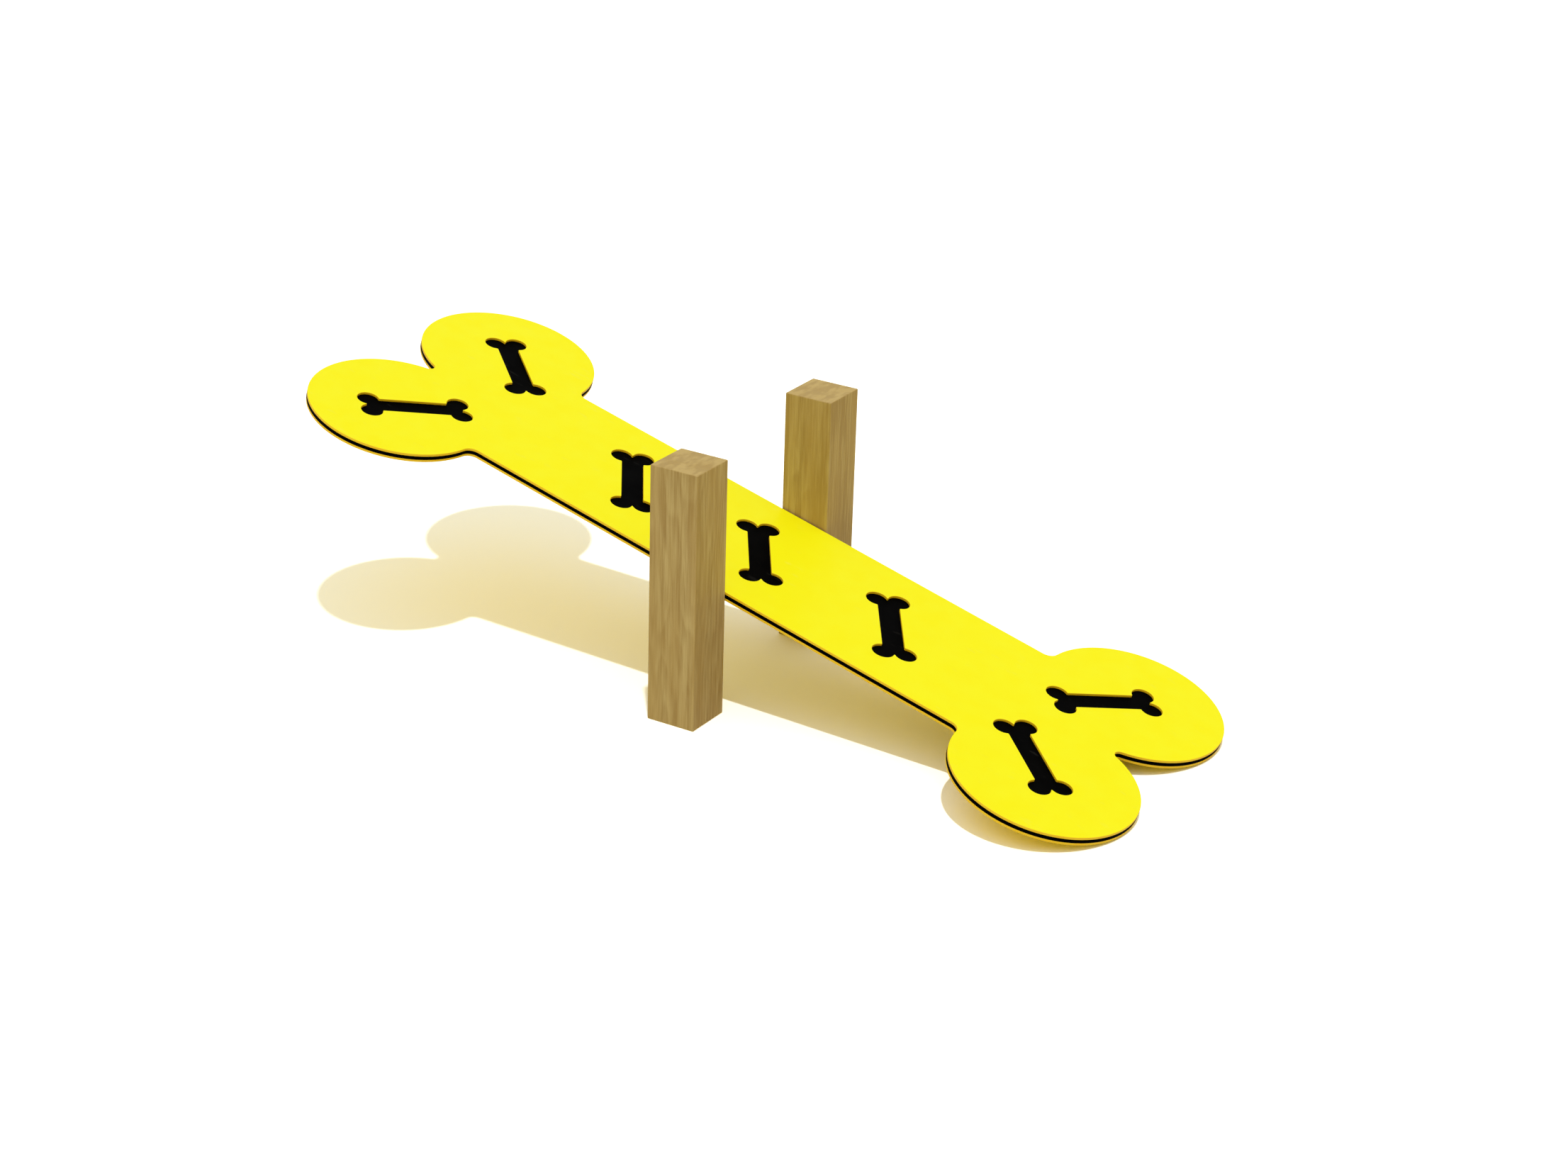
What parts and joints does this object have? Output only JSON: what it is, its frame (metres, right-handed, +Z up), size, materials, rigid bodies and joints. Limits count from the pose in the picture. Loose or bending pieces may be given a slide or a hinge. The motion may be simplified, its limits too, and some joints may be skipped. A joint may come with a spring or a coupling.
{
  "type": "agility seesaw",
  "caption": "Dog agility seesaw: a bone-shaped three-layer board with routed small bones, on a steel under-frame and axle, tips between two square timber posts.",
  "frame": {"origin": "on the ground, midway between the two posts, below the middle of the axle", "axes": "+X along the board to the end that is down at rest, +Y across from the near post to the far post, +Z up"},
  "size_m": [1.749, 0.7, 0.5],
  "materials": {
    "timber": "planed softwood, impregnated, unvarnished",
    "yellow_plastic": "satin polyethylene sheet",
    "black_plastic": "satin polyethylene sheet",
    "black_cap": "moulded",
    "galvanised_steel": "hot-dip galvanised",
    "axle_steel": "bright drawn, stainless",
    "stainless_fastener": "stainless",
    "bearing_plastic": "turned acetal",
    "black_rubber": "moulded rubber"
  },
  "bodies": {
    "posts": {"near_post": "timber", "near_pivot_plate": "galvanised_steel", "near_axle_bush": "bearing_plastic", "near_foot_plate": "galvanised_steel", "near_plate_screw_1": "stainless_fastener", "near_plate_screw_2": "stainless_fastener", "near_plate_screw_3": "stainless_fastener", "near_plate_screw_4": "stainless_fastener", "near_foot_screw_1": "stainless_fastener", "near_foot_screw_2": "stainless_fastener", "far_post": "timber", "far_pivot_plate": "galvanised_steel", "far_axle_bush": "bearing_plastic", "far_foot_plate": "galvanised_steel", "far_plate_screw_1": "stainless_fastener", "far_plate_screw_2": "stainless_fastener", "far_plate_screw_3": "stainless_fastener", "far_plate_screw_4": "stainless_fastener", "far_foot_screw_1": "stainless_fastener", "far_foot_screw_2": "stainless_fastener"},
    "board": {"board_top_skin": "yellow_plastic", "board_core": "black_plastic", "board_bottom_skin": "yellow_plastic", "near_rail": "galvanised_steel", "far_rail": "galvanised_steel", "low_crossbar": "galvanised_steel", "high_crossbar": "galvanised_steel", "low_crossbar_near_cap": "black_cap", "low_crossbar_far_cap": "black_cap", "high_crossbar_near_cap": "black_cap", "high_crossbar_far_cap": "black_cap", "axle": "axle_steel", "near_spacer_tube": "galvanised_steel", "far_spacer_tube": "galvanised_steel", "near_thrust_washer": "bearing_plastic", "far_thrust_washer": "bearing_plastic", "near_axle_lock_bolt": "stainless_fastener", "far_axle_lock_bolt": "stainless_fastener", "near_rail_screw_1": "stainless_fastener", "near_rail_screw_2": "stainless_fastener", "near_rail_screw_3": "stainless_fastener", "near_rail_screw_4": "stainless_fastener", "far_rail_screw_1": "stainless_fastener", "far_rail_screw_2": "stainless_fastener", "far_rail_screw_3": "stainless_fastener", "far_rail_screw_4": "stainless_fastener", "low_crossbar_screw_1": "stainless_fastener", "low_crossbar_screw_2": "stainless_fastener", "high_crossbar_screw_1": "stainless_fastener", "high_crossbar_screw_2": "stainless_fastener", "low_near_buffer": "black_rubber", "low_far_buffer": "black_rubber", "high_near_buffer": "black_rubber", "high_far_buffer": "black_rubber", "low_near_buffer_screw": "stainless_fastener", "low_far_buffer_screw": "stainless_fastener", "high_near_buffer_screw": "stainless_fastener", "high_far_buffer_screw": "stainless_fastener"}
  },
  "joints": [
    {"name": "board_pivot", "type": "hinge", "parent": "posts", "child": "board", "pos_m": [0, 0, 0.22], "axis": [0, -1, 0], "range_deg": [0, 29.94]}
  ]
}
